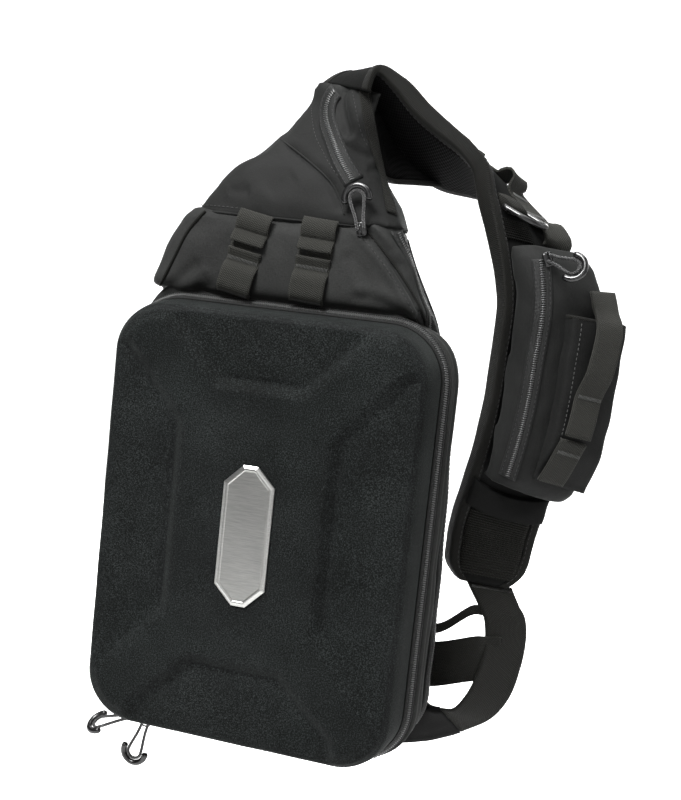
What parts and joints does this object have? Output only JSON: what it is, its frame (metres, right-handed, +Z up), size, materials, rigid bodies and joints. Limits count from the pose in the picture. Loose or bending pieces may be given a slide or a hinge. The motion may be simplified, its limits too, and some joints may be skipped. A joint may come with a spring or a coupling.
{
  "type": "fishing sling bag",
  "caption": "Tall sling bag: a moulded zip case on a soft body, hung from one padded shoulder strap that carries a small zip pouch.",
  "frame": {"origin": "underside of the shoulder strap at its highest point, where it rests on the shoulder", "axes": "+Z up with the bag hanging, -Y towards the moulded face, +X to the viewer's right when looking at the face"},
  "size_m": [0.3473, 0.1572, 0.5228],
  "materials": {
    "shell": "charcoal fabric over moulded foam, finely speckled",
    "nylon": "charcoal woven nylon, slight sheen",
    "mesh": "black spacer mesh",
    "webbing": "woven webbing, matt",
    "zip": "woven zip tape with a nylon coil",
    "plastic": "moulded, half gloss",
    "cord": "braided",
    "badge": "bright satin"
  },
  "bodies": {
    "root": {"front_shell": "shell", "badge": "badge", "case_gusset": "nylon", "main_body": "nylon", "top_hood": "nylon", "shoulder_strap": "nylon", "pouch_hem": "nylon", "strap_pouch": "nylon", "outer_pocket": "nylon", "corner_wing": "nylon", "back_panel": "mesh", "strap_lining": "mesh", "web_ladder_left": "webbing", "web_ladder_right": "webbing", "strap_binding_near": "webbing", "strap_binding_far": "webbing", "shoulder_web": "webbing", "ribbed_elastic": "webbing", "strap_end_band": "webbing", "pocket_ladder": "webbing", "strap_webbing": "webbing", "d_ring_tab": "webbing", "back_belt": "webbing", "back_tie": "webbing", "shell_zip": "zip", "hood_zip": "zip", "main_zip": "zip", "pouch_zip": "zip", "d_ring": "plastic", "shell_pull_low_slider": "plastic", "shell_pull_low_grip": "plastic", "shell_pull_low_cord": "cord", "shell_pull_left_slider": "plastic", "shell_pull_left_grip": "plastic", "shell_pull_left_cord": "cord", "main_pull_slider": "plastic", "main_pull_grip": "plastic", "main_pull_cord": "cord", "pouch_pull_slider": "plastic", "pouch_pull_grip": "plastic", "pouch_pull_cord": "cord"}
  },
  "joints": []
}
